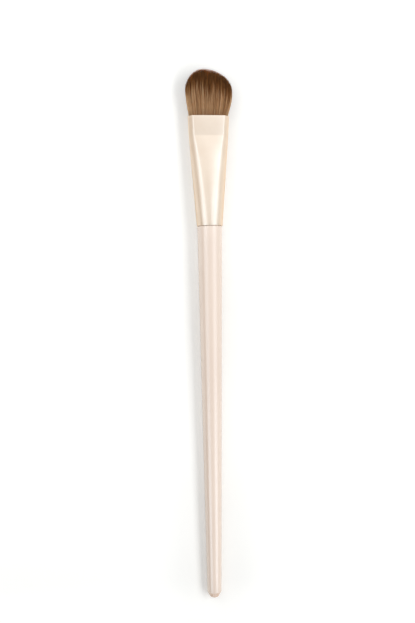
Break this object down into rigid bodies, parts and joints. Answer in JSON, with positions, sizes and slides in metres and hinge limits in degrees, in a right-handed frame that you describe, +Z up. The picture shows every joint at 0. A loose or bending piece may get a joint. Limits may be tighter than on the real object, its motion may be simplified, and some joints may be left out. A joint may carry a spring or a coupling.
{
  "type": "makeup brush",
  "caption": "Flat makeup brush with a long tapered handle, a pressed champagne metal ferrule and a soft domed tuft.",
  "frame": {"origin": "on the surface that the brush lies on, under the middle of its length", "axes": "+Y from the handle's end towards the tuft, +X to the right across the wide way of the tuft seen from above, +Z up out of the surface"},
  "size_m": [0.0152, 0.1701, 0.0082],
  "materials": {
    "lacquer": "pale rose-beige gloss lacquer on turned wood",
    "champagne_metal": "satin champagne gold anodising",
    "glue": "cured milky glue",
    "resin": "cured amber resin",
    "bristle": "fine soft brown bristle, darker towards the tips"
  },
  "bodies": {
    "root": {"handle": "lacquer", "ferrule": "champagne_metal", "tenon_glue": "glue", "root_resin": "resin", "bristle_tuft": "bristle"}
  },
  "joints": []
}
